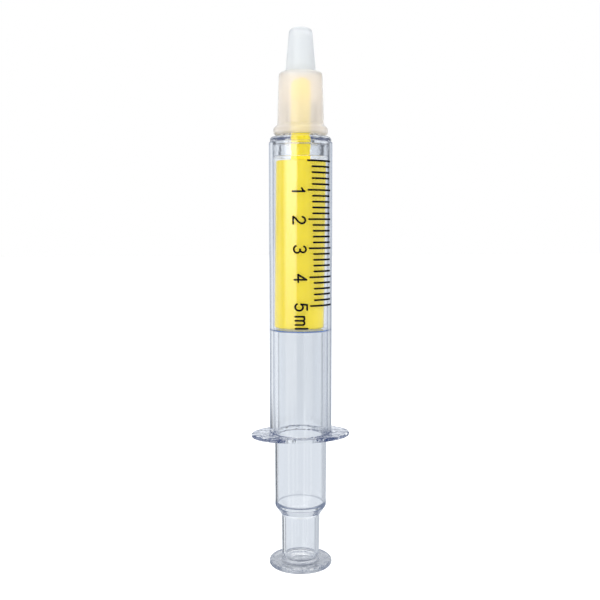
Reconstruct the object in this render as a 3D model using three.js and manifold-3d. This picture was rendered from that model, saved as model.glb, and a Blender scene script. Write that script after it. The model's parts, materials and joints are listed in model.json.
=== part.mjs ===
// A highlighter pen in the shape of a syringe, standing on its thumb disc.
// Millimetres. +Z runs up the axis to the capped tip, and z = 0 is the underside of the thumb disc.
// The finger flange's long axis is along X. Every piece is its own closed solid.

import * as THREE from 'three';
import { mergeVertices } from 'three/addons/utils/BufferGeometryUtils.js';
import Module from 'manifold-3d';

const wasm = await Module();
wasm.setup();

// ---- Driving dimensions ----

const SEGMENTS = 48;            // facets round every turned surface
const ARC_STEPS = 4;            // facets along every small rounded edge

const SEAT_GAP = 0.3;           // clear space left where two separate pieces would touch
const SLIDE_GAP = 0.25;         // radial clearance of the plunger's head in the bore
const CUT_PAST = 1;             // how far a cutting shape reaches past the face it cuts

// Plunger: thumb disc, narrow neck, sloping shoulder, wide tube
const DISC_RADIUS = 8.43;
const DISC_HEIGHT = 1.45;
const DISC_EDGE = 0.65;
const DISC_BORE_FLOOR = 1.9;
const DISC_BORE_FILLET = 0.6;
const NECK_TOP = 13.8;
const NECK_RADIUS_LOW = 5.0;
const NECK_RADIUS_HIGH = 5.19;
const NECK_BORE_RADIUS = 4.3;
const SHOULDER_TOP = 16.3;
const SHOULDER_BORE_LOW = 14.6;
const SHOULDER_BORE_HIGH = 17.2;
const TUBE_RADIUS_LOW = 6.85;
const TUBE_RADIUS_HIGH = 7.05;
const TUBE_BORE_RADIUS = 6.2;

// Plunger head: a thin disc whose lip runs in the bore, with a short spigot in the wide tube
const HEAD_TOP = 64.1;
const HEAD_LIP_HEIGHT = 0.6;
const HEAD_SPIGOT_LENGTH = 1.2;
const HEAD_SPIGOT_RADIUS = TUBE_BORE_RADIUS - SEAT_GAP;

// Barrel with its finger flange
const FLANGE_BOTTOM = 35.05;
const FLANGE_THICKNESS = 1.05;
const FLANGE_HALF_LENGTH = 13.2;
const FLANGE_HALF_WIDTH = 8.7;
const FLANGE_EDGE = 0.45;
const FLANGE_OUTLINE_STEPS = 40;
const BARREL_RADIUS = 8.28;
const BORE_RADIUS = 7.35;
const BARREL_TOP = 112.6;
const BORE_MOUTH_CHAMFER = 0.3;

// Nib holder: collar on the barrel's end, skirt in the bore, neck inside the cap
const SKIRT_BOTTOM = 108.8;
const SKIRT_RADIUS = BORE_RADIUS - SEAT_GAP;
const SKIRT_BORE_RADIUS = 5.16;
const SKIRT_BORE_TOP = 112.2;
const COLLAR_BOTTOM = BARREL_TOP + SEAT_GAP;
const COLLAR_TOP = 114.0;
const COLLAR_RADIUS = 7.99;
const COLLAR_FILLET = 0.8;
const NOZZLE_TOP = 122.7;
const NOZZLE_RADIUS_LOW = 4.6;
const NOZZLE_RADIUS_HIGH = 4.4;
const NOZZLE_BORE_RADIUS = 3.7;
const NIB_SEAT_RADIUS = 2.85;
const NIB_SEAT_TOP = 115.0;

// Nib: round felt rod with a slanted writing end
const NIB_RADIUS = 2.53;
const NIB_TOP = 128.9;
const NIB_SLANT_DEG = 32;
const NIB_CUT_SIZE = 16;        // cube that cuts the slant, wider than the slanted face is long
const NIB_SOCKET_DEPTH = 3.0;

// Ink reservoir in its film sleeve, leaning a little inside the bore
const RESERVOIR_BOTTOM = 64.5;
const RESERVOIR_TOP = 107.7;
const FILM_RADIUS = 6.6;
const FILM_WALL = 0.2;
const FILM_GAP = 0.2;
const CORE_RADIUS = FILM_RADIUS - FILM_WALL - FILM_GAP;
const CORE_END_INSET = 0.15;
const LEAN_DEG = 0.66;
const LEAN_TOP_SHIFT = 0.1;

// Cap: bead at the open rim, wide collar, sloping shoulder, narrow tip
const CAP_RIM = 114.5;
const CAP_BEAD_HEIGHT = 2.55;
const CAP_BEAD_RADIUS = 7.08;
const CAP_BEAD_ARC_END_DEG = 25;   // where the bead's round runs out into the cap's wall
const CAP_BEAD_ARC_STEPS = 6;
const CAP_COLLAR_LOW = 6.06;
const CAP_COLLAR_HIGH = 5.63;
const CAP_SHOULDER = 130.5;
const CAP_SHOULDER_FILLET = 1.5;
const CAP_TIP_LOW = 3.91;
const CAP_TIP_HIGH = 2.92;
const CAP_TOP = 141.65;
const CAP_TOP_FILLET = 1.2;
const CAP_TOP_ARC_START_DEG = 10;  // the tip's taper meets its rounded end at this angle
const CAP_BORE_LOW = 5.2;
const CAP_BORE_HIGH = 4.85;
const CAP_BORE_TOP = 129.6;
const CAP_TIP_WALL = 0.75;
const CAP_ROOF = 1.2;

// ---- Colours ----

const clearPlastic = (name) => new THREE.MeshStandardMaterial({
  name, color: 0xdde3e8, roughness: 0.05, metalness: 0, transparent: true, opacity: 0.35,
});
const frostedPlastic = new THREE.MeshStandardMaterial({
  name: 'frosted', color: 0xefece6, roughness: 0.4, metalness: 0, transparent: true, opacity: 0.8,
});
const feltMaterial = new THREE.MeshStandardMaterial({
  name: 'felt', color: 0xf4df2b, roughness: 0.85, metalness: 0,
});
const fibreMaterial = new THREE.MeshStandardMaterial({
  name: 'fibre', color: 0xf4e140, roughness: 0.8, metalness: 0,
});
const filmMaterial = new THREE.MeshStandardMaterial({
  name: 'film', color: 0xf6e766, roughness: 0.25, metalness: 0, transparent: true, opacity: 0.5,
});

// ---- Shape helpers ----

// Points [radius, z] along an arc about (radius, z), from one angle to another in degrees.
function arc(radius, z, size, fromDeg, toDeg, steps = ARC_STEPS) {
  const points = [];
  for (let i = 0; i <= steps; i += 1) {
    const angle = THREE.MathUtils.degToRad(fromDeg + (toDeg - fromDeg) * i / steps);
    points.push([radius + size * Math.cos(angle), z + size * Math.sin(angle)]);
  }
  return points;
}

// A solid turned about Z. The outline goes up the outside, and starts and ends on the axis.
function turned(outline) {
  const points = outline.map(([radius, z]) => new THREE.Vector2(radius, z));
  return new THREE.LatheGeometry(points, SEGMENTS).rotateX(Math.PI / 2);
}

// A turned solid whose outline is a closed loop clear of the axis.
function turnedRing(outline) {
  return turned([...outline, outline[0]]);
}

// A three.js geometry as a manifold solid, and back.
function toSolid(geometry) {
  const bare = geometry.clone();
  bare.deleteAttribute('normal');
  bare.deleteAttribute('uv');
  const merged = mergeVertices(bare);
  return new wasm.Manifold(new wasm.Mesh({
    numProp: 3,
    vertProperties: new Float32Array(merged.attributes.position.array),
    triVerts: new Uint32Array(merged.index.array),
  }));
}

function toGeometry(solid) {
  const mesh = solid.getMesh();
  const geometry = new THREE.BufferGeometry();
  geometry.setAttribute('position', new THREE.BufferAttribute(mesh.vertProperties, 3));
  geometry.setIndex(new THREE.BufferAttribute(mesh.triVerts, 1));
  geometry.computeVertexNormals();
  return geometry;
}

function piece(name, geometry, material) {
  const mesh = new THREE.Mesh(geometry, material);
  mesh.name = name;
  return mesh;
}

// ---- Plunger ----

// Hollow, closed at the thumb disc and open at the front.
function makePlunger() {
  const tubeTop = HEAD_TOP - HEAD_LIP_HEIGHT - SEAT_GAP;
  const floorRadius = NECK_BORE_RADIUS - DISC_BORE_FILLET;
  const outside = [
    [0, 0],
    ...arc(DISC_RADIUS - DISC_EDGE, DISC_EDGE, DISC_EDGE, -90, 0),
    ...arc(DISC_RADIUS - DISC_EDGE, DISC_HEIGHT - DISC_EDGE, DISC_EDGE, 0, 90),
    [NECK_RADIUS_LOW, DISC_HEIGHT],
    [NECK_RADIUS_HIGH, NECK_TOP],
    [TUBE_RADIUS_LOW, SHOULDER_TOP],
    [TUBE_RADIUS_HIGH, tubeTop],
  ];
  const inside = [
    [TUBE_BORE_RADIUS, tubeTop],
    [TUBE_BORE_RADIUS, SHOULDER_BORE_HIGH],
    [NECK_BORE_RADIUS, SHOULDER_BORE_LOW],
    ...arc(floorRadius, DISC_BORE_FLOOR + DISC_BORE_FILLET, DISC_BORE_FILLET, 0, -90),
    [0, DISC_BORE_FLOOR],
  ];
  return piece('plunger', turned([...outside, ...inside]), clearPlastic('clear'));
}

function makePlungerHead() {
  const lipBottom = HEAD_TOP - HEAD_LIP_HEIGHT;
  const outline = [
    [0, lipBottom - HEAD_SPIGOT_LENGTH],
    [HEAD_SPIGOT_RADIUS, lipBottom - HEAD_SPIGOT_LENGTH],
    [HEAD_SPIGOT_RADIUS, lipBottom],
    [BORE_RADIUS - SLIDE_GAP, lipBottom],
    [BORE_RADIUS - SLIDE_GAP, HEAD_TOP],
    [0, HEAD_TOP],
  ];
  return piece('plunger_head', turned(outline), clearPlastic('clear'));
}

// ---- Barrel ----

// Oval plate with a rounded edge, square to the axis.
function flangeSolid() {
  const outline = new THREE.Shape();
  outline.absellipse(
    0, 0, FLANGE_HALF_LENGTH - FLANGE_EDGE, FLANGE_HALF_WIDTH - FLANGE_EDGE, 0, 2 * Math.PI,
  );
  const plate = new THREE.ExtrudeGeometry(outline, {
    depth: FLANGE_THICKNESS - 2 * FLANGE_EDGE,
    bevelThickness: FLANGE_EDGE,
    bevelSize: FLANGE_EDGE,
    bevelSegments: ARC_STEPS,
    curveSegments: FLANGE_OUTLINE_STEPS,
  });
  plate.translate(0, 0, FLANGE_BOTTOM + FLANGE_EDGE);
  return toSolid(plate);
}

// Straight tube, one moulding with the flange at its rear end.
function makeBarrel() {
  const rod = toSolid(turned([
    [0, FLANGE_BOTTOM],
    [BARREL_RADIUS - BORE_MOUTH_CHAMFER, FLANGE_BOTTOM],
    [BARREL_RADIUS, FLANGE_BOTTOM + BORE_MOUTH_CHAMFER],
    [BARREL_RADIUS, BARREL_TOP],
    [0, BARREL_TOP],
  ]));
  const bore = toSolid(turned([
    [0, FLANGE_BOTTOM - CUT_PAST],
    [BORE_RADIUS + BORE_MOUTH_CHAMFER, FLANGE_BOTTOM - CUT_PAST],
    [BORE_RADIUS + BORE_MOUTH_CHAMFER, FLANGE_BOTTOM],
    [BORE_RADIUS, FLANGE_BOTTOM + BORE_MOUTH_CHAMFER],
    [BORE_RADIUS, BARREL_TOP + CUT_PAST],
    [0, BARREL_TOP + CUT_PAST],
  ]));
  const solid = rod.add(flangeSolid()).subtract(bore);
  return piece('barrel', toGeometry(solid), clearPlastic('clear'));
}

// ---- Nib holder and nib ----

function makeNibHolder() {
  const outline = [
    [SKIRT_BORE_RADIUS, SKIRT_BOTTOM],
    [SKIRT_RADIUS, SKIRT_BOTTOM],
    [SKIRT_RADIUS, COLLAR_BOTTOM],
    [COLLAR_RADIUS, COLLAR_BOTTOM],
    ...arc(COLLAR_RADIUS - COLLAR_FILLET, COLLAR_TOP - COLLAR_FILLET, COLLAR_FILLET, 0, 90),
    [NOZZLE_RADIUS_LOW, COLLAR_TOP],
    [NOZZLE_RADIUS_HIGH, NOZZLE_TOP],
    [NOZZLE_BORE_RADIUS, NOZZLE_TOP],
    [NOZZLE_BORE_RADIUS, NIB_SEAT_TOP],
    [NIB_SEAT_RADIUS, NIB_SEAT_TOP],
    [NIB_SEAT_RADIUS, SKIRT_BORE_TOP],
    [SKIRT_BORE_RADIUS, SKIRT_BORE_TOP],
  ];
  return piece('nib_holder', turnedRing(outline), clearPlastic('clear'));
}

// The rod reaches down into the reservoir's socket. Its top is cut to a chisel end, sloping down towards +Y.
function makeNib() {
  const rodBottom = RESERVOIR_TOP - CORE_END_INSET - NIB_SOCKET_DEPTH + SEAT_GAP;
  const rod = toSolid(turned([
    [0, rodBottom],
    [NIB_RADIUS, rodBottom],
    [NIB_RADIUS, NIB_TOP],
    [0, NIB_TOP],
  ]));
  const cutter = new THREE.BoxGeometry(NIB_CUT_SIZE, NIB_CUT_SIZE, NIB_CUT_SIZE);
  cutter.translate(0, 0, NIB_CUT_SIZE / 2);
  cutter.rotateX(-THREE.MathUtils.degToRad(NIB_SLANT_DEG));
  cutter.translate(0, -NIB_RADIUS, NIB_TOP);
  return piece('nib', toGeometry(rod.subtract(toSolid(cutter))), feltMaterial);
}

// ---- Ink reservoir ----

// Fibre core with a blind socket for the nib's rear end, made about its own top centre.
function makeCore() {
  const length = RESERVOIR_TOP - RESERVOIR_BOTTOM;
  const socketRadius = NIB_RADIUS + SEAT_GAP;
  const outline = [
    [0, CORE_END_INSET - length],
    [CORE_RADIUS, CORE_END_INSET - length],
    [CORE_RADIUS, -CORE_END_INSET],
    [socketRadius, -CORE_END_INSET],
    [socketRadius, -CORE_END_INSET - NIB_SOCKET_DEPTH],
    [0, -CORE_END_INSET - NIB_SOCKET_DEPTH],
  ];
  return piece('ink_reservoir', turned(outline), fibreMaterial);
}

function makeFilm() {
  const length = RESERVOIR_TOP - RESERVOIR_BOTTOM;
  const outline = [
    [FILM_RADIUS - FILM_WALL, -length],
    [FILM_RADIUS, -length],
    [FILM_RADIUS, 0],
    [FILM_RADIUS - FILM_WALL, 0],
  ];
  return piece('reservoir_film', turnedRing(outline), filmMaterial);
}

function makeReservoir() {
  const reservoir = new THREE.Group();
  reservoir.position.set(LEAN_TOP_SHIFT, 0, RESERVOIR_TOP);
  reservoir.rotation.y = THREE.MathUtils.degToRad(LEAN_DEG);
  reservoir.add(makeCore(), makeFilm());
  return reservoir;
}

// ---- Cap ----

// One moulding, hollow through the collar and up into the tip, open at the rim.
function makeCap() {
  const beadMiddle = CAP_RIM + CAP_BEAD_HEIGHT / 2;
  const beadCore = CAP_BEAD_RADIUS - CAP_BEAD_HEIGHT / 2;
  const filletLow = CAP_SHOULDER - CAP_SHOULDER_FILLET;
  const tipBoreTop = CAP_TOP - CAP_ROOF;
  const tipEndRadius = CAP_TIP_HIGH - CAP_TOP_FILLET;
  const inside = [
    [0, tipBoreTop],
    [CAP_TIP_HIGH - CAP_TIP_WALL, tipBoreTop],
    [CAP_TIP_LOW - CAP_TIP_WALL, CAP_BORE_TOP],
    [CAP_BORE_HIGH, CAP_BORE_TOP],
    [CAP_BORE_LOW, CAP_RIM],
  ];
  const outside = [
    ...arc(beadCore, beadMiddle, CAP_BEAD_HEIGHT / 2, -90, CAP_BEAD_ARC_END_DEG, CAP_BEAD_ARC_STEPS),
    [CAP_COLLAR_LOW, CAP_RIM + CAP_BEAD_HEIGHT],
    ...arc(CAP_COLLAR_HIGH - CAP_SHOULDER_FILLET, filletLow, CAP_SHOULDER_FILLET, 0, 90),
    [CAP_TIP_LOW, CAP_SHOULDER],
    ...arc(tipEndRadius, CAP_TOP - CAP_TOP_FILLET, CAP_TOP_FILLET, CAP_TOP_ARC_START_DEG, 90),
    [0, CAP_TOP],
  ];
  return piece('cap', turned([...inside, ...outside]), frostedPlastic);
}

// ---- Assembly ----

const pen = new THREE.Group();
pen.name = 'syringe_highlighter';
pen.add(
  makePlunger(),
  makePlungerHead(),
  makeBarrel(),
  makeNibHolder(),
  makeNib(),
  makeReservoir(),
  makeCap(),
);

export default pen;
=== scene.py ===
import json
import math

import bpy
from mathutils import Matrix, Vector, noise


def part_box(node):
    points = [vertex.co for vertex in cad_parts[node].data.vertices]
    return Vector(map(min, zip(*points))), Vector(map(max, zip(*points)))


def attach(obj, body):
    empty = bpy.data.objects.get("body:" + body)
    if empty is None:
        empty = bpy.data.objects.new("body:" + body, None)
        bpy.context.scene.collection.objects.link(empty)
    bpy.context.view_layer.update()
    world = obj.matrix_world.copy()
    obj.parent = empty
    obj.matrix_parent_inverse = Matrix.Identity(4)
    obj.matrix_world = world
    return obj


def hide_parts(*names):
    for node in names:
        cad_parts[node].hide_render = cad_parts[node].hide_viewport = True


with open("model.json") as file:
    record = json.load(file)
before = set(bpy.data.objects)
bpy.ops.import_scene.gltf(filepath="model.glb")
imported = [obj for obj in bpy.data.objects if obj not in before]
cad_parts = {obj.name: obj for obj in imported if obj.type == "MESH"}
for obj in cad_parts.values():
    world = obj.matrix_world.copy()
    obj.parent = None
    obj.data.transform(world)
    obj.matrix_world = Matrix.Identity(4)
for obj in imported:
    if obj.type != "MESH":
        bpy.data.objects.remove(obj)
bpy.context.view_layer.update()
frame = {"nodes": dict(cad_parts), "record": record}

# The looks of a highlighter pen in the shape of a syringe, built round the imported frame.
# Outlines are in millimetres, as (radius, height, corner radius) along the pen's axis.

MM = 0.001


def span(node):
    """A CAD node's lowest and highest point along the pen, in millimetres."""
    low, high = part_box(node)
    return low.z / MM, high.z / MM


def half_width(node, axis=0):
    """Half of a CAD node's size across the pen, in millimetres."""
    low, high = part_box(node)
    return (high[axis] - low[axis]) / 2 / MM


# ---------- Sizes, in millimetres and degrees ----------

SEGMENTS = 192            # round every turned piece
CORNER_STEPS = 6          # in every rounded corner
SLIP = 0.03               # between pieces that fit closely

BARREL_LOW, BARREL_TOP = span("barrel")
FLANGE_HALF_LENGTH = half_width("barrel", 0)
FLANGE_HALF_WIDTH = half_width("barrel", 1)
FLANGE_THICKNESS = 1.05
FLANGE_EDGE = 0.5
FLANGE_FILLET = 0.35
BARREL_RADIUS = 8.28
BORE_RADIUS = 7.35

HOLDER_LOW, NOZZLE_TOP = span("nib_holder")
COLLAR_RADIUS = half_width("nib_holder")
COLLAR_TOP = 114.0
NOZZLE_RADIUS_LOW = 4.6
NOZZLE_RADIUS_HIGH = 4.4
SKIRT_BORE_RADIUS = 5.16
SKIRT_BORE_TOP = 112.2
NIB_SEAT_RADIUS = 2.75
NIB_SEAT_TOP = 115.0
NOZZLE_BORE_RADIUS = 3.7

NIB_LOW, NIB_TOP = span("nib")
NIB_RADIUS = half_width("nib")
NIB_SLANT = math.radians(32)
NIB_END = 6               # how much of the nib the slant takes up

HEAD_TOP = span("plunger_head")[1]
HEAD_THICKNESS = 0.35
HEAD_SQUEEZE = 0.02       # how far the head's lip is pressed into the bore

DISC_RADIUS = half_width("plunger")
DISC_THICKNESS = 1.45
DISH_RADIUS = 5.35
DISH_DEPTH = 0.8
NECK_RADIUS_LOW = 5.0
NECK_RADIUS_HIGH = 5.19
NECK_TOP = 13.8
SHOULDER_RADIUS = 6.85
SHOULDER_TOP = 16.3
TUBE_RADIUS = 7.15
TUBE_TOP = HEAD_TOP - HEAD_THICKNESS - 0.05
TUBE_BORE_RADIUS_HIGH = 6.2
TUBE_BORE_RADIUS_LOW = 6.15
TUBE_BORE_LOW = 17.2
NECK_BORE_RADIUS_HIGH = 4.3
NECK_BORE_TOP = 14.6
NECK_BORE_RADIUS_LOW = 4.2
NECK_BORE_LOW = 1.9

JOINTS = {joint["name"]: joint for joint in frame["record"]["behaviour"]["joints"]}
PLUNGER_TRAVEL = JOINTS["plunger_slide"]["range_m"][1] / MM
FLOOR_HEIGHT = -PLUNGER_TRAVEL - 1      # clear of the thumb disc when the plunger is pulled right back

CAP_RIM, CAP_TOP = span("cap")
CAP_BEAD_RADIUS = half_width("cap")
CAP_BEAD_TOP = 116.3
CAP_COLLAR_LOW = 117.1
CAP_COLLAR_RADIUS_LOW = 6.06
CAP_COLLAR_RADIUS_HIGH = 5.63
CAP_SHOULDER = 130.5
CAP_TIP_RADIUS_LOW = 3.91
CAP_TIP_RADIUS_HIGH = 2.92
CAP_MOUTH_RADIUS = 5.2
CAP_COLLAR_BORE_RADIUS = 4.85
CAP_TIP_BORE_RADIUS_LOW = 3.15
CAP_TIP_BORE_RADIUS_HIGH = 2.2
CAP_END_WALL = 1.2
CAP_SHOULDER_WALL = 0.9

FILM_RADIUS = 6.6
FILM_WALL = 0.08
CORE_RADIUS = FILM_RADIUS - FILM_WALL - SLIP
CORE_SOCKET_RADIUS = NIB_RADIUS + 0.1
CORE_SOCKET_DEPTH = 3.3

SCALE_TOP = 107.5
SCALE_LENGTH = 36.8
SCALE_STEPS = 25
STEPS_PER_ML = 5

# ---------- Mesh helpers ----------


def corner(before, at, after, size):
    """(radius, height, normal radius, normal height) along one corner of an outline, rounded by an arc."""
    come = Vector(at) - Vector(before)
    go = Vector(after) - Vector(at)
    heading = math.atan2(come.y, come.x)
    turn = math.remainder(math.atan2(go.y, go.x) - heading, 2 * math.pi)
    side = math.copysign(1, turn)
    slope = math.tan(abs(turn) / 2)
    reach = min(size * slope, 0.45 * come.length, 0.45 * go.length)
    radius = reach / slope
    first = Vector((math.sin(heading), -math.cos(heading)))
    centre = Vector(at) - come.normalized() * reach - first * (side * radius)
    made = []
    for i in range(CORNER_STEPS + 1):
        angle = heading - math.pi / 2 + turn * i / CORNER_STEPS
        normal = Vector((math.cos(angle), math.sin(angle)))
        point = centre + normal * (side * radius)
        made.append((point.x, point.y, normal.x, normal.y))
    return made


def rounded(outline):
    """An outline with its corners rounded. It goes up the outside and down the inside, and either starts
    and ends on the axis or closes on itself."""
    made = []
    for i, (radius, height, size) in enumerate(outline):
        if radius == 0:
            made.append((0.0, height, 0.0, -1.0 if i == 0 else 1.0))
        else:
            after = outline[(i + 1) % len(outline)]
            made += corner(outline[i - 1][:2], (radius, height), after[:2], size)
    return made


def turned(name, outline_at, closed):
    """A closed mesh swept round the axis. outline_at gives the rounded outline at an angle, so that it may
    change on the way round. Each point's normal is worked out, so that long walls shade true."""
    outlines = [outline_at(2 * math.pi * k / SEGMENTS) for k in range(SEGMENTS)]
    count = len(outlines[0])
    points, normals, index = [], [], {}
    for k in range(SEGMENTS):
        angle = 2 * math.pi * k / SEGMENTS
        out = Vector((math.cos(angle), math.sin(angle), 0))
        step = 2 * math.pi / SEGMENTS
        for j, (radius, height, normal_r, normal_z) in enumerate(outlines[k]):
            if radius == 0 and k > 0:
                index[k, j] = index[0, j]
                continue
            index[k, j] = len(points)
            points.append(Vector((out.x * radius, out.y * radius, height)) * MM)
            if radius == 0:
                normals.append(Vector((0, 0, normal_z)))
                continue
            ahead, behind = outlines[(k + 1) % SEGMENTS][j], outlines[k - 1][j]
            round_way = Vector((
                ahead[0] * math.cos(angle + step) - behind[0] * math.cos(angle - step),
                ahead[0] * math.sin(angle + step) - behind[0] * math.sin(angle - step),
                ahead[1] - behind[1],
            ))
            along = Vector((-normal_z * out.x, -normal_z * out.y, normal_r))
            normals.append(round_way.cross(along).normalized())
    faces = []
    for k in range(SEGMENTS):
        beside = (k + 1) % SEGMENTS
        for j in range(count if closed else count - 1):
            up = (j + 1) % count
            ring = [index[k, j], index[beside, j], index[beside, up], index[k, up]]
            faces.append([v for i, v in enumerate(ring) if v != ring[i - 1]])
    return mesh_object(name, points, faces, normals)


def mesh_object(name, points, faces, normals=None):
    mesh = bpy.data.meshes.new(name)
    mesh.from_pydata(points, [], faces)
    mesh.polygons.foreach_set("use_smooth", [True] * len(mesh.polygons))
    if normals:
        mesh.normals_split_custom_set_from_vertices(normals)
    obj = bpy.data.objects.new(name, mesh)
    bpy.context.scene.collection.objects.link(obj)
    return obj


def plain_turned(name, outline):
    """A turned piece whose outline is the same all round."""
    shape = rounded(outline)
    return turned(name, lambda angle: shape, closed=outline[0][0] != 0)


def finish_piece(obj, body, slot, material, *nodes):
    obj.data.materials.append(material)
    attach(obj, body)
    if nodes:
        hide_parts(*nodes)


# ---------- Materials ----------


def node_material(name):
    material = bpy.data.materials.new(name)
    material.use_nodes = True
    nodes = material.node_tree.nodes
    shader = nodes["Principled BSDF"]
    return material, nodes, material.node_tree.links, shader


def object_noise(nodes, links, scale, detail=2.0, stretch=(1, 1, 1)):
    """A noise texture in the object's own space. scale is in bumps per metre."""
    place = nodes.new("ShaderNodeTexCoord")
    mapping = nodes.new("ShaderNodeMapping")
    mapping.inputs["Scale"].default_value = stretch
    texture = nodes.new("ShaderNodeTexNoise")
    texture.inputs["Scale"].default_value = scale
    texture.inputs["Detail"].default_value = detail
    links.new(place.outputs["Object"], mapping.inputs["Vector"])
    links.new(mapping.outputs["Vector"], texture.inputs["Vector"])
    return texture.outputs["Fac"]


def upward_part(nodes, links, kind):
    """The Z of a texture coordinate. Of Object it is the height, in metres, and of Normal it is how far the
    surface faces up."""
    place = nodes.new("ShaderNodeTexCoord")
    split = nodes.new("ShaderNodeSeparateXYZ")
    links.new(place.outputs[kind], split.inputs["Vector"])
    return split.outputs["Z"]


def calculated(nodes, links, operation, first, second=None):
    """One Math node. Its inputs are sockets, and the second may be a number or missing."""
    node = nodes.new("ShaderNodeMath")
    node.operation = operation
    links.new(first, node.inputs[0])
    if isinstance(second, (int, float)):
        node.inputs[1].default_value = second
    elif second is not None:
        links.new(second, node.inputs[1])
    return node.outputs["Value"]


def levelness(nodes, links):
    """1 on level surfaces, 0 on upright ones."""
    return calculated(nodes, links, "ABSOLUTE", upward_part(nodes, links, "Normal"))


def glance(nodes, links, sharpness):
    """0 where a surface is looked at squarely, up to 1 where it is seen edge on."""
    layer = nodes.new("ShaderNodeLayerWeight")
    layer.inputs["Blend"].default_value = 0.5
    return calculated(nodes, links, "POWER", layer.outputs["Facing"], sharpness)


def ranged(nodes, links, source, low, high, limits=(0, 1)):
    """A number from low to high, as the source goes between its two limits."""
    spread = nodes.new("ShaderNodeMapRange")
    spread.inputs["From Min"].default_value, spread.inputs["From Max"].default_value = limits
    spread.inputs["To Min"].default_value = low
    spread.inputs["To Max"].default_value = high
    links.new(source, spread.inputs["Value"])
    return spread.outputs["Result"]


def blended(nodes, links, amount, limits, before, after):
    """Goes smoothly from one colour to another as the amount goes between its two limits."""
    fade = nodes.new("ShaderNodeMapRange")
    fade.interpolation_type = "SMOOTHSTEP"
    fade.inputs["From Min"].default_value, fade.inputs["From Max"].default_value = limits
    links.new(amount, fade.inputs["Value"])
    mix = nodes.new("ShaderNodeMix")
    mix.data_type = "RGBA"
    links.new(fade.outputs["Result"], mix.inputs["Factor"])
    for socket, colour in (("A", before), ("B", after)):
        if isinstance(colour, tuple):
            mix.inputs[socket].default_value = colour
        else:
            links.new(colour, mix.inputs[socket])
    return mix.outputs["Result"]


def ramped(nodes, links, source, first, second):
    """A colour between two (position, colour) stops."""
    ramp = nodes.new("ShaderNodeValToRGB")
    for stop, (position, colour) in zip(ramp.color_ramp.elements, (first, second)):
        stop.position = position
        stop.color = colour
    links.new(source, ramp.inputs["Fac"])
    return ramp.outputs["Color"]


def bumped(nodes, links, shader, source, depth):
    """Bumps up to the given depth, in metres."""
    bump = nodes.new("ShaderNodeBump")
    bump.inputs["Distance"].default_value = depth
    links.new(source, bump.inputs["Height"])
    links.new(bump.outputs["Normal"], shader.inputs["Normal"])


BLACK, WHITE = (0, 0, 0, 1), (1, 1, 1, 1)
CLEAR = (0.985, 0.99, 0.995, 1)
POLISH = 0.03             # roughness where the haze is thickest
PAINTED_GLOW_AFTER = 3.5       # reflections, after which the plastic glows with painted light in place of light lost in its edges
GROUND_ROUGHNESS = (0.3, 0.3, 0.3, 1)
# grey painted on the foot's underside as painted shade of the table under it
FOOT_PAINTED_SHADE = (0.35, 0.355, 0.375, 1)


def clear_plastic(name, tint, painted_edge_glow=(0.08, 0.10, 0.15, 1)):
    """Polished clear plastic with a faint handling haze. After a few reflections it glows blue-grey: painted
    light standing in for light trapped in its edges.
    """
    material, nodes, links, shader = node_material(name)
    shader.inputs["Base Color"].default_value = tint
    shader.inputs["Transmission Weight"].default_value = 1.0
    shader.inputs["IOR"].default_value = 1.5
    haze = object_noise(nodes, links, 900.0, 3.0, (1, 1, 0.15))
    links.new(ranged(nodes, links, haze, 0.0, POLISH), shader.inputs["Roughness"])
    # Painted light: the plastic glows blue-grey once a ray has reflected a few times, in place of light lost
    # in its edges.
    path = nodes.new("ShaderNodeLightPath")
    painted_glow_on = calculated(nodes, links, "GREATER_THAN", path.outputs["Glossy Depth"], PAINTED_GLOW_AFTER)
    links.new(painted_glow_on, shader.inputs["Emission Strength"])
    shader.inputs["Emission Color"].default_value = painted_edge_glow
    return material, nodes, links, shader


def ripple_below(nodes, links, shader, top, depth):
    """Moulding ripples, up to the given depth in metres, on all that is lower than top, in millimetres."""
    limits = (top * MM, (top - 0.2) * MM)
    below = blended(nodes, links, upward_part(nodes, links, "Object"), limits, BLACK, WHITE)
    ripples = object_noise(nodes, links, 480.0)
    bumped(nodes, links, shader, calculated(nodes, links, "MULTIPLY", ripples, below), depth)


def grind_foot(nodes, links, shader):
    """Makes clear plastic ground matt on the level faces that are no higher than the dish in the foot, and
    darkens their colour to grey there: painted shade of the shadowed table under the foot.
    """
    level = levelness(nodes, links)
    height = upward_part(nodes, links, "Object")
    limits = ((DISH_DEPTH + 0.2) * MM, (DISH_DEPTH + 0.1) * MM)
    polish = shader.inputs["Roughness"].links[0].from_socket
    tint = tuple(shader.inputs["Base Color"].default_value)
    for socket, plain, matt_and_shade in (("Roughness", polish, GROUND_ROUGHNESS), ("Base Color", tint, FOOT_PAINTED_SHADE)):
        flat = blended(nodes, links, level, (0.9, 0.96), plain, matt_and_shade)
        foot = blended(nodes, links, height, limits, plain, flat)
        links.new(foot, shader.inputs[socket])


def darken_outlines(nodes, links, shader, colour):
    """Painted shade: the colour of long upright walls of clear plastic is darkened towards their outlines,
    where one looks along the wall.
    """
    tint = tuple(shader.inputs["Base Color"].default_value)
    outline = blended(nodes, links, glance(nodes, links, 8.0), (0.0, 0.12), tint, colour)
    walls = blended(nodes, links, levelness(nodes, links), (0.1, 0.3), outline, tint)
    links.new(walls, shader.inputs["Base Color"])


def tint_rim(nodes, links, shader, colour):
    """Gives clear plastic another colour on its upright faces: painted shade, drawing the dark edge line of
    the part.
    """
    tint = tuple(shader.inputs["Base Color"].default_value)
    rim_shade = blended(nodes, links, levelness(nodes, links), (0.3, 0.6), colour, tint)
    links.new(rim_shade, shader.inputs["Base Color"])


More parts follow.
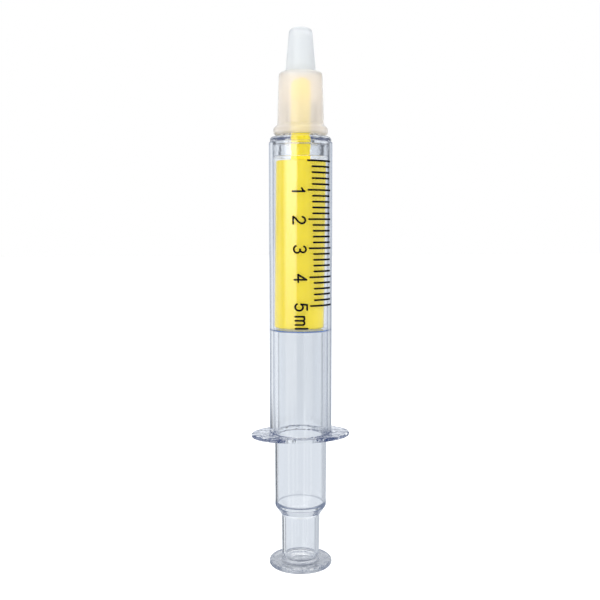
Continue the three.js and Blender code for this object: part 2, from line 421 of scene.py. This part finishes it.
def frosted_plastic(name):
    """Natural soft plastic that passes light but blurs what is behind it. Round the wet nib its colour is
    painted warmer: painted light, standing in for the nib's yellow light inside it.
    """
    material, nodes, links, shader = node_material(name)
    cloud = object_noise(nodes, links, 350.0, 3.0)
    tip = blended(nodes, links, cloud, (0.3, 0.7), (0.84, 0.86, 0.87, 1), (0.86, 0.875, 0.885, 1))
    # painted light: the collar's warm tint stands in for yellow light from the nib inside
    collar_nib_glow = blended(nodes, links, cloud, (0.3, 0.7), (0.925, 0.87, 0.80, 1), (0.935, 0.88, 0.815, 1))
    limits = ((CAP_SHOULDER + 0.5) * MM, (CAP_SHOULDER - 1.5) * MM)
    tint = blended(nodes, links, upward_part(nodes, links, "Object"), limits, tip, collar_nib_glow)
    links.new(tint, shader.inputs["Base Color"])
    shader.inputs["Transmission Weight"].default_value = 0.75
    shader.inputs["IOR"].default_value = 1.25
    shader.inputs["Roughness"].default_value = 0.3
    shader.inputs["Coat Weight"].default_value = 0.35
    shader.inputs["Coat Roughness"].default_value = 0.25
    return material


def inked_fibre(name, colour, deep, glow, scale, stretch, depth, glow_halved_above=None):
    """Fibre soaked in highlighter ink. It is deeper in colour between the strands. It glows, partly as the
    ink's fluorescence and partly as painted light making up for light lost in the clear plastic round it.
    Above a given height, in millimetres, the glow is halved, so that the part seen through the cap is dimmer."""
    material, nodes, links, shader = node_material(name)
    strands = object_noise(nodes, links, scale, 4.0, stretch)
    ink = ramped(nodes, links, strands, (0.3, deep), (0.62, colour))
    links.new(ink, shader.inputs["Base Color"])
    links.new(ranged(nodes, links, strands, 0.55, 0.8), shader.inputs["Roughness"])
    links.new(ink, shader.inputs["Emission Color"])
    shader.inputs["Emission Strength"].default_value = glow
    if glow_halved_above is not None:
        # painted dimming: the glow is halved above this height
        limits = ((glow_halved_above - 1) * MM, (glow_halved_above + 1) * MM)
        painted_dimming = ranged(nodes, links, upward_part(nodes, links, "Object"), glow, 0.5 * glow, limits)
        links.new(painted_dimming, shader.inputs["Emission Strength"])
    shader.inputs["Specular IOR Level"].default_value = 0.25
    bumped(nodes, links, shader, strands, depth)
    return material


def film_material(name):
    """Clear wrap: light passes straight through it, and it mirrors a little, more so at a glancing angle."""
    material, nodes, links, shader = node_material(name)
    nodes.remove(shader)
    glancing = glance(nodes, links, 5.0)
    through = nodes.new("ShaderNodeBsdfTransparent")
    gloss = nodes.new("ShaderNodeBsdfGlossy")
    creases = object_noise(nodes, links, 500.0, 2.0, (1, 1, 0.1))
    links.new(ranged(nodes, links, creases, 0.08, 0.16), gloss.inputs["Roughness"])
    mix = nodes.new("ShaderNodeMixShader")
    links.new(ranged(nodes, links, glancing, 0.045, 0.5), mix.inputs["Fac"])
    links.new(through.outputs["BSDF"], mix.inputs[1])
    links.new(gloss.outputs["BSDF"], mix.inputs[2])
    links.new(mix.outputs["Shader"], nodes["Material Output"].inputs["Surface"])
    return material


def printed_ink(name):
    """Near-black screen ink, a little uneven in gloss."""
    material, nodes, links, shader = node_material(name)
    blotches = object_noise(nodes, links, 1800.0, 3.0)
    colour = ramped(nodes, links, blotches, (0, (0.0015, 0.0015, 0.004, 1)), (1, (0.004, 0.004, 0.012, 1)))
    links.new(colour, shader.inputs["Base Color"])
    links.new(ranged(nodes, links, blotches, 0.5, 0.7), shader.inputs["Roughness"])
    shader.inputs["Specular IOR Level"].default_value = 0.03
    return material


# ---------- Plunger ----------


def make_plunger():
    outline = [
        (0, DISH_DEPTH, 0),
        (0.35 * DISH_RADIUS, 0.93 * DISH_DEPTH, 1.5),
        (0.72 * DISH_RADIUS, 0.6 * DISH_DEPTH, 1.5),
        (DISH_RADIUS, 0, 0.3),
        (DISC_RADIUS, 0, 0.65),
        (DISC_RADIUS, DISC_THICKNESS, 0.65),
        (NECK_RADIUS_LOW, DISC_THICKNESS, 0.3),
        (NECK_RADIUS_HIGH, NECK_TOP, 0.4),
        (SHOULDER_RADIUS, SHOULDER_TOP, 1.2),
        (TUBE_RADIUS, TUBE_TOP, 0.1),
        (TUBE_BORE_RADIUS_HIGH, TUBE_TOP, 0.1),
        (TUBE_BORE_RADIUS_LOW, TUBE_BORE_LOW, 1.2),
        (NECK_BORE_RADIUS_HIGH, NECK_BORE_TOP, 0.4),
        (NECK_BORE_RADIUS_LOW, NECK_BORE_LOW, 0.6),
        (0, NECK_BORE_LOW, 0),
    ]
    plunger = plain_turned("plunger_clear", outline)
    plastic, nodes, links, shader = clear_plastic("plunger_plastic", CLEAR)
    ripple_below(nodes, links, shader, DISC_THICKNESS + 0.15, 0.0004)
    # the foot's underside is ground matt and painted grey as painted shade
    grind_foot(nodes, links, shader)
    finish_piece(plunger, "plunger_slider", "clear_plunger", plastic, "plunger")

    low = HEAD_TOP - HEAD_THICKNESS
    outline = [
        (0, low, 0),
        (BORE_RADIUS + HEAD_SQUEEZE, low, 0.1),
        (BORE_RADIUS + HEAD_SQUEEZE, HEAD_TOP, 0.1),
        (0, HEAD_TOP, 0),
    ]
    head = plain_turned("plunger_head_clear", outline)
    plastic, nodes, links, shader = clear_plastic("head_plastic", (0.85, 0.89, 0.96, 1))
    # the head's rim is painted blue as painted shade: the dark line along its lip
    tint_rim(nodes, links, shader, (0.25, 0.42, 0.88, 1))
    finish_piece(head, "plunger_slider", "clear_head", plastic, "plunger_head")


# ---------- Barrel ----------


def barrel_outline(angle):
    """The barrel's outline at an angle. How far its oval flange reaches depends on the angle."""
    reach = FLANGE_HALF_LENGTH * FLANGE_HALF_WIDTH / math.hypot(
        FLANGE_HALF_WIDTH * math.cos(angle), FLANGE_HALF_LENGTH * math.sin(angle)
    )
    flange_top = BARREL_LOW + FLANGE_THICKNESS
    return rounded([
        (BORE_RADIUS, BARREL_LOW, 0.15),
        (reach, BARREL_LOW, FLANGE_EDGE),
        (reach, flange_top, FLANGE_EDGE),
        (BARREL_RADIUS, flange_top, FLANGE_FILLET),
        (BARREL_RADIUS, BARREL_TOP, 0.12),
        (BORE_RADIUS, BARREL_TOP, 0.1),
    ])


def make_barrel():
    barrel = turned("barrel_clear", barrel_outline, closed=True)
    plastic, nodes, links, shader = clear_plastic("barrel_plastic", CLEAR, (0.012, 0.025, 0.08, 1))
    ripple_below(nodes, links, shader, BARREL_LOW + FLANGE_THICKNESS + 0.4, 0.0009)
    # painted shade, dark blue-grey, along the barrel's outlines
    darken_outlines(nodes, links, shader, (0.28, 0.32, 0.4, 1))
    finish_piece(barrel, "pen", "clear_barrel", plastic, "barrel")


# ---------- Nib holder and nib ----------


def make_nib_holder():
    collar_bottom = BARREL_TOP + SLIP
    outline = [
        (SKIRT_BORE_RADIUS, HOLDER_LOW, 0.15),
        (BORE_RADIUS - SLIP, HOLDER_LOW, 0.2),
        (BORE_RADIUS - SLIP, collar_bottom, 0.05),
        (COLLAR_RADIUS, collar_bottom, 0.1),
        (COLLAR_RADIUS, COLLAR_TOP, 0.8),
        (NOZZLE_RADIUS_LOW, COLLAR_TOP, 0.3),
        (NOZZLE_RADIUS_HIGH, NOZZLE_TOP, 0.3),
        (NOZZLE_BORE_RADIUS, NOZZLE_TOP, 0.2),
        (NOZZLE_BORE_RADIUS, NIB_SEAT_TOP, 0.2),
        (NIB_SEAT_RADIUS, NIB_SEAT_TOP, 0.2),
        (NIB_SEAT_RADIUS, SKIRT_BORE_TOP, 0.2),
        (SKIRT_BORE_RADIUS, SKIRT_BORE_TOP, 0.5),
    ]
    holder = plain_turned("nib_holder_clear", outline)
    plastic, nodes, links, shader = clear_plastic(
        "holder_plastic", (0.98, 0.985, 0.99, 1), (0.10, 0.105, 0.12, 1)
    )
    ripple_below(nodes, links, shader, COLLAR_TOP + 1, 0.0001)
    finish_piece(holder, "pen", "clear_front", plastic, "nib_holder")


def make_nib():
    """A felt rod with a slanted end and a slightly hairy skin."""
    straight_top = NIB_TOP - NIB_END
    outline = [(0, NIB_LOW, 0), (NIB_RADIUS, NIB_LOW, 0.2)]
    rings = 40
    outline += [
        (NIB_RADIUS, NIB_LOW + (NIB_TOP - NIB_LOW) * i / rings, 0) for i in range(1, rings)
    ]
    outline += [(NIB_RADIUS, NIB_TOP, 0.35), (0, NIB_TOP, 0)]
    shape = []
    for i, (radius, height, size) in enumerate(outline):
        if size:
            shape += corner(outline[i - 1][:2], (radius, height), outline[i + 1][:2], size)
        else:
            shape.append((radius, height, 1.0, 0.0))
    nib = turned("nib_felt", lambda angle: shape, closed=False)
    for vertex in nib.data.vertices:
        x, y, z = vertex.co / MM
        if z > straight_top:
            cut = NIB_TOP - (y + NIB_RADIUS) * math.tan(NIB_SLANT)
            z = straight_top + (z - straight_top) * (cut - straight_top) / (NIB_TOP - straight_top)
        hair = noise.noise(Vector((x, y, z)) * 3.0) * 0.02
        vertex.co = Vector((x * (1 + hair), y * (1 + hair), z)) * MM
    nib.data.update()
    # the nib's glow is fluorescence and painted light, and it is halved above the nozzle
    felt = inked_fibre(
        "nib_ink_felt", colour=(0.92, 0.76, 0.02, 1), deep=(0.86, 0.69, 0.01, 1), glow=0.45,
        scale=2200.0, stretch=(1, 1, 0.4), depth=0.00006, glow_halved_above=NOZZLE_TOP,
    )
    finish_piece(nib, "pen", "nib_felt", felt, "nib")


# ---------- Ink core and its film ----------


def ring_centre(node, top):
    """The centre of a leaning CAD node's top or bottom end, in metres."""
    points = sorted((v.co.copy() for v in frame["nodes"][node].data.vertices), key=lambda p: p.z)
    chosen = points[len(points) // 2:] if top else points[:len(points) // 2]
    return sum(chosen, Vector()) / len(chosen)


def lean_to_frame(obj, node):
    """Puts a piece made upright about its own middle where the CAD node leans."""
    low, high = ring_centre(node, False), ring_centre(node, True)
    obj.rotation_mode = "QUATERNION"
    obj.rotation_quaternion = (high - low).to_track_quat("Z", "Y")
    obj.location = (low + high) / 2


def make_core():
    low, high = span("reservoir_film")
    half = (high - low) / 2
    outline = [
        (0, -half, 0),
        (CORE_RADIUS, -half, 0.5),
        (CORE_RADIUS, half, 0.35),
        (CORE_SOCKET_RADIUS, half, 0.1),
        (CORE_SOCKET_RADIUS, half - CORE_SOCKET_DEPTH, 0.1),
        (0, half - CORE_SOCKET_DEPTH, 0),
    ]
    core = plain_turned("ink_core", outline)
    lean_to_frame(core, "reservoir_film")
    # the core's glow is fluorescence and painted light
    fibre = inked_fibre(
        "core_ink_fibre", colour=(0.93, 0.77, 0.03, 1), deep=(0.90, 0.72, 0.015, 1), glow=0.22,
        scale=3000.0, stretch=(1, 1, 0.02), depth=0.00001,
    )
    finish_piece(core, "pen", "ink_fibre", fibre, "ink_reservoir")

    outline = [
        (FILM_RADIUS - FILM_WALL, -half, 0.02),
        (FILM_RADIUS, -half, 0.02),
        (FILM_RADIUS, half, 0.02),
        (FILM_RADIUS - FILM_WALL, half, 0.02),
    ]
    film = plain_turned("core_film", outline)
    lean_to_frame(film, "reservoir_film")
    finish_piece(film, "pen", "wrap_film", film_material("core_wrap"), "reservoir_film")


# ---------- Cap ----------


def make_cap():
    outline = [
        (0, CAP_TOP - CAP_END_WALL, 0),
        (CAP_TIP_BORE_RADIUS_HIGH, CAP_TOP - CAP_END_WALL, 0.9),
        (CAP_TIP_BORE_RADIUS_LOW, CAP_SHOULDER - CAP_SHOULDER_WALL, 0.4),
        (CAP_COLLAR_BORE_RADIUS, CAP_SHOULDER - CAP_SHOULDER_WALL, 0.9),
        (CAP_MOUTH_RADIUS, CAP_RIM, 0.15),
        (CAP_BEAD_RADIUS, CAP_RIM, 1.3),
        (CAP_BEAD_RADIUS, CAP_BEAD_TOP, 0.8),
        (CAP_COLLAR_RADIUS_LOW, CAP_COLLAR_LOW, 0.25),
        (CAP_COLLAR_RADIUS_HIGH, CAP_SHOULDER, 1.5),
        (CAP_TIP_RADIUS_LOW, CAP_SHOULDER, 0.15),
        (CAP_TIP_RADIUS_HIGH, CAP_TOP, 1.25),
        (0, CAP_TOP, 0),
    ]
    cap = plain_turned("cap_frosted", outline)
    finish_piece(cap, "tip_cap", "frosted_cap", frosted_plastic("cap_frost"), "cap")


# ---------- Printed scale ----------

PRINT_LIFT = 0.004
PRINT_THICKNESS = 0.02
STROKE = 0.48
PRINT_TURN = -9.3         # from the side opposite +Y, so that the print faces the viewer's right
PRINT_SKEW = 5.6          # how far the print creeps round the barrel from its top line to its bottom one
LONG_TICK = (12.6, 64.0)
SHORT_TICK = (20.6, 60.5)
TICK_PIECES = 24
NUMERAL_HEIGHT = 3.1
NUMERAL_FOOT = -15.5      # the numerals lie on their side, with their feet at this angle
STROKE_END = (0.985, 0.87, 0.5)   # where a stroke's round end is cut, in half widths past the end point


def on_barrel(degrees, height, lift):
    """A point on the barrel's outside, at an angle from the viewer's side towards +X."""
    skew = PRINT_SKEW * (SCALE_TOP - height) / SCALE_LENGTH
    angle = math.radians(degrees + PRINT_TURN + skew)
    radius = BARREL_RADIUS + lift
    return Vector((math.sin(angle) * radius, -math.cos(angle) * radius, height)) * MM


def stroke_slab(path, width, points, faces):
    """Adds one printed stroke with round ends to points and faces. path is (degrees, height) along it."""
    arc = math.radians(1) * BARREL_RADIUS
    flat = [Vector((degrees * arc, height)) for degrees, height in path]
    half = width / 2
    ways = [(b - a).normalized() for a, b in zip(flat, flat[1:])]
    middles = [(ways[max(i - 1, 0)] + ways[min(i, len(ways) - 1)]).normalized() for i in range(len(flat))]
    ends = [(d * half, math.sqrt(1 - d * d) * half) for d in STROKE_END]
    sections = [(flat[0] - ways[0] * past, ways[0], side) for past, side in ends]
    sections += [(p, way, half) for p, way in zip(flat, middles)]
    sections += [(flat[-1] + ways[-1] * past, ways[-1], side) for past, side in reversed(ends)]
    first = len(points)
    for place, way, side in sections:
        across = Vector((-way.y, way.x)) * side
        for edge, lift in ((across, PRINT_THICKNESS), (-across, PRINT_THICKNESS), (-across, 0), (across, 0)):
            spot = place + edge
            points.append(on_barrel(spot.x / arc, spot.y, PRINT_LIFT + lift))
    for i in range(len(sections) - 1):
        here, there = first + 4 * i, first + 4 * (i + 1)
        for j in range(4):
            k = (j + 1) % 4
            faces.append((here + j, here + k, there + k, there + j))
    end = first + 4 * (len(sections) - 1)
    faces.append((first + 3, first + 2, first + 1, first))
    faces.append((end, end + 1, end + 2, end + 3))


def arc_path(x, y, radius_x, radius_y, start, stop, steps=14):
    """Points along part of an ellipse round (x, y), from one angle to another, in degrees."""
    made = []
    for i in range(steps + 1):
        angle = math.radians(start + (stop - start) * i / steps)
        made.append((x + radius_x * math.cos(angle), y + radius_y * math.sin(angle)))
    return made


# Strokes of each character in a box 1 high, with x from its middle.
GLYPHS = {
    "1": [[(0.04, 0), (0.04, 1)], [(0.04, 1), (-0.04, 0.87), (-0.22, 0.76)]],
    "2": [
        arc_path(0, 0.72, 0.27, 0.28, 170, -25) + [(0.12, 0.42), (-0.16, 0.2), (-0.29, 0)],
        [(-0.29, 0), (0.3, 0)],
    ],
    "3": [arc_path(0, 0.755, 0.25, 0.245, 160, -90), arc_path(0, 0.265, 0.29, 0.265, 90, -160)],
    "4": [[(0.12, 0), (0.12, 1)], [(0.12, 1), (-0.31, 0.31)], [(-0.31, 0.31), (0.31, 0.31)]],
    "5": [[(0.24, 1), (-0.18, 1)], [(-0.18, 1), (-0.25, 0.5)], arc_path(0, 0.33, 0.29, 0.33, 140, -150)],
    "m": [
        [(-0.36, 0), (-0.36, 0.74)],
        arc_path(-0.19, 0.56, 0.17, 0.2, 180, 0) + [(-0.02, 0)],
        arc_path(0.16, 0.56, 0.17, 0.2, 180, 0) + [(0.33, 0)],
    ],
    "l": [[(0, 0), (0, 1)]],
}


def make_scale():
    ink = printed_ink("scale_ink")
    points, faces = [], []
    for step in range(SCALE_STEPS + 1):
        height = SCALE_TOP - SCALE_LENGTH * step / SCALE_STEPS
        start, stop = SHORT_TICK if step % STEPS_PER_ML else LONG_TICK
        path = [(start + (stop - start) * i / TICK_PIECES, height) for i in range(TICK_PIECES + 1)]
        stroke_slab(path, STROKE, points, faces)
    finish_piece(mesh_object("scale_ticks", points, faces), "pen", "clear_barrel", ink)

    points, faces = [], []
    degrees = NUMERAL_HEIGHT / BARREL_RADIUS / math.radians(1)
    numbers = SCALE_STEPS // STEPS_PER_ML
    places = [(str(n), SCALE_TOP - SCALE_LENGTH / numbers * n - 0.25) for n in range(1, numbers + 1)]
    places += [("m", SCALE_TOP - SCALE_LENGTH - 3.8), ("l", SCALE_TOP - SCALE_LENGTH - 5.8)]
    for character, height in places:
        for stroke in GLYPHS[character]:
            path = [(NUMERAL_FOOT + y * degrees, height - x * NUMERAL_HEIGHT) for x, y in stroke]
            stroke_slab(path, STROKE, points, faces)
    finish_piece(mesh_object("scale_numerals", points, faces), "pen", "clear_barrel", ink)


# ---------- Studio ----------

VIEW_TURN = math.radians(-9.3)
VIEW_PITCH = math.radians(5.04)
VIEW_DISTANCE = 220.9 * MM
VIEW_HEIGHT = 91.05 * MM
VIEW_LENS = 50.34
SIDE_STEP = -0.16 * MM

TOWARDS = Vector((-math.sin(VIEW_TURN), math.cos(VIEW_TURN), 0))
RIGHT = Vector((math.cos(VIEW_TURN), math.sin(VIEW_TURN), 0))


def make_camera():
    camera = bpy.data.objects.new("camera", bpy.data.cameras.new("camera"))
    camera.data.lens = VIEW_LENS
    camera.data.clip_start = 0.01
    camera.location = RIGHT * SIDE_STEP - TOWARDS * VIEW_DISTANCE + Vector((0, 0, VIEW_HEIGHT))
    camera.rotation_euler = (math.pi / 2 - VIEW_PITCH, 0, VIEW_TURN)
    bpy.context.scene.collection.objects.link(camera)
    bpy.context.scene.camera = camera


# How bright the studio is round the pen, as (degrees, brightness), from straight behind it towards the right.
# The room in front of the pen, where the viewer is, is dimmer. First, level with the pen's top or higher:
# dark bars stand well out to both sides.
ABOVE = [
    (-180, 0.2), (-110, 0.3), (-90, 0.6), (-72, 0.8), (-67, 0.15), (-59, 0.1), (-53, 0.7), (-40, 0.9),
    (-28, 0.75), (-15, 0.92), (0, 0.92), (18, 0.85), (27, 0.7), (38, 0.65), (44, 0.2), (52, 0.05),
    (64, 0.1), (71, 0.5), (100, 0.45), (130, 0.3), (180, 0.2),
]
# Next, a little below level: narrow dark bars close behind the pen draw the dark edges of clear plastic.
BELOW = [
    (-180, 0.25), (-110, 0.35), (-90, 0.7), (-75, 0.9), (-55, 0.95), (-40, 0.9), (-33, 0.85), (-30, 0.3),
    (-27, 0.3), (-24, 0.9), (-15, 0.9), (-4, 0.86), (2, 0.88), (8, 0.82), (20, 0.82), (25, 0.35),
    (29, 0.35), (33, 0.7), (45, 0.8), (58, 0.65), (75, 0.65), (100, 0.5), (130, 0.35), (180, 0.25),
]
# Last, the table top, with bright strips of window light in front of the pen.
TABLE = [
    (-180, 0.5), (-152, 0.6), (-146, 1.3), (-140, 0.62), (-130, 0.65), (-124, 1.7), (-118, 0.65), (-75, 0.8),
    (-55, 0.95), (-44, 0.95), (-40, 0.08), (-25, 0.08), (-21, 0.8), (-14, 0.81), (0, 0.8), (16, 0.8),
    (22, 0.45), (30, 0.45), (35, 0.8), (41, 0.45), (48, 0.65), (75, 0.6), (110, 0.5), (156, 0.5),
    (163, 1.3), (170, 0.5), (180, 0.5),
]
# Where a wide softbox stands, to the viewer's left, and how bright it is at its bottom and its top.
SOFTBOX = [(-180, 0), (-168, 0), (-162, 1), (-120, 1), (-112, 0), (180, 0)]
SOFTBOX_LOW, SOFTBOX_HIGH = 0.9, 2.7
PIT = (0.25, 0.28, 0.36, 1)         # straight down it is dark
SKY = (1.6, 1.6, 1.6, 1)
MATT_LIGHT = (1.68, 1.68, 1.68, 1)

# Where each of these gives way to the next, as the Z of the way one looks.
SOFTBOX_SPAN = (-0.13, 0.09)
ABOVE_TO_BELOW = (0.0, -0.06)
BELOW_TO_TABLE = (-0.19, -0.25)
TABLE_TO_PIT = (-0.42, -0.7)
ROOM_TO_SKY = (0.4, 0.9)


def shade(brightness):
    """The brighter, the more neutral. Dark parts of the studio are a little blue."""
    return brightness * (0.89 + 0.07 * brightness), brightness, brightness * (1.19 - 0.14 * brightness), 1


def bearing_ramp(nodes, links, share, table):
    """The brightness that a table gives, as share goes once round from straight in front of the pen."""
    ramp = nodes.new("ShaderNodeValToRGB")
    stops = ramp.color_ramp.elements
    stops[0].position, stops[0].color = 0.0, shade(table[0][1])
    stops[1].position, stops[1].color = 1.0, shade(table[-1][1])
    for degrees, brightness in table[1:-1]:
        stops.new((degrees + 180) / 360).color = shade(brightness)
    links.new(share, ramp.inputs["Fac"])
    return ramp.outputs["Color"]


def make_world():
    """Pale behind the pen, with a bright ceiling. Matt surfaces get an even light from all round."""
    world = bpy.data.worlds.new("studio")
    bpy.context.scene.world = world
    world.use_nodes = True
    nodes, links = world.node_tree.nodes, world.node_tree.links
    place = nodes.new("ShaderNodeTexCoord")
    turn = nodes.new("ShaderNodeMapping")
    turn.vector_type = "VECTOR"
    turn.inputs["Rotation"].default_value = (0, 0, -VIEW_TURN)
    links.new(place.outputs["Generated"], turn.inputs["Vector"])
    split = nodes.new("ShaderNodeSeparateXYZ")
    links.new(turn.outputs["Vector"], split.inputs["Vector"])
    height = split.outputs["Z"]
    bearing = calculated(nodes, links, "ARCTAN2", split.outputs["X"], split.outputs["Y"])
    share = ranged(nodes, links, bearing, 0, 1, (-math.pi, math.pi))
    tables = (ABOVE, BELOW, TABLE, SOFTBOX)
    above, below, table, softbox = (bearing_ramp(nodes, links, share, entry) for entry in tables)

    glow = ranged(nodes, links, height, SOFTBOX_LOW, SOFTBOX_HIGH, SOFTBOX_SPAN)
    room = blended(nodes, links, height, ABOVE_TO_BELOW, above, below)
    room = blended(nodes, links, softbox, (0, 1), room, glow)
    room = blended(nodes, links, height, BELOW_TO_TABLE, room, table)
    room = blended(nodes, links, height, TABLE_TO_PIT, room, PIT)
    room = blended(nodes, links, height, ROOM_TO_SKY, room, SKY)
    path = nodes.new("ShaderNodeLightPath")
    room = blended(nodes, links, path.outputs["Diffuse Depth"], (0, 1), room, MATT_LIGHT)
    room = blended(nodes, links, path.outputs["Is Camera Ray"], (0, 1), room, WHITE)
    links.new(room, nodes["Background"].inputs["Color"])


FLOOR_HALF = 3000
FLOOR_STEPS = 24


def make_floor():
    marks = [FLOOR_HALF * (2 * i / FLOOR_STEPS - 1) for i in range(FLOOR_STEPS + 1)]
    points = [Vector((x, y, FLOOR_HEIGHT)) * MM for x in marks for y in marks]
    row = len(marks)
    faces = []
    for i in range(FLOOR_STEPS):
        for j in range(FLOOR_STEPS):
            first = i * row + j
            faces.append((first, first + row, first + row + 1, first + 1))
    floor = mesh_object("floor", points, faces)
    material, nodes, links, shader = node_material("pale_floor")
    mottle = object_noise(nodes, links, 6.0, 3.0)
    pale = ramped(nodes, links, mottle, (0, (0.94, 0.94, 0.94, 1)), (1, (0.96, 0.96, 0.96, 1)))
    links.new(pale, shader.inputs["Base Color"])
    shader.inputs["Roughness"].default_value = 0.9
    shader.inputs["Specular IOR Level"].default_value = 0.0
    floor.data.materials.append(material)
    floor.visible_glossy = False
    floor.visible_transmission = False


make_camera()
make_plunger()
make_barrel()
make_nib_holder()
make_nib()
make_core()
make_cap()
make_scale()
make_world()
make_floor()
bpy.context.scene.view_settings.view_transform = "Standard"
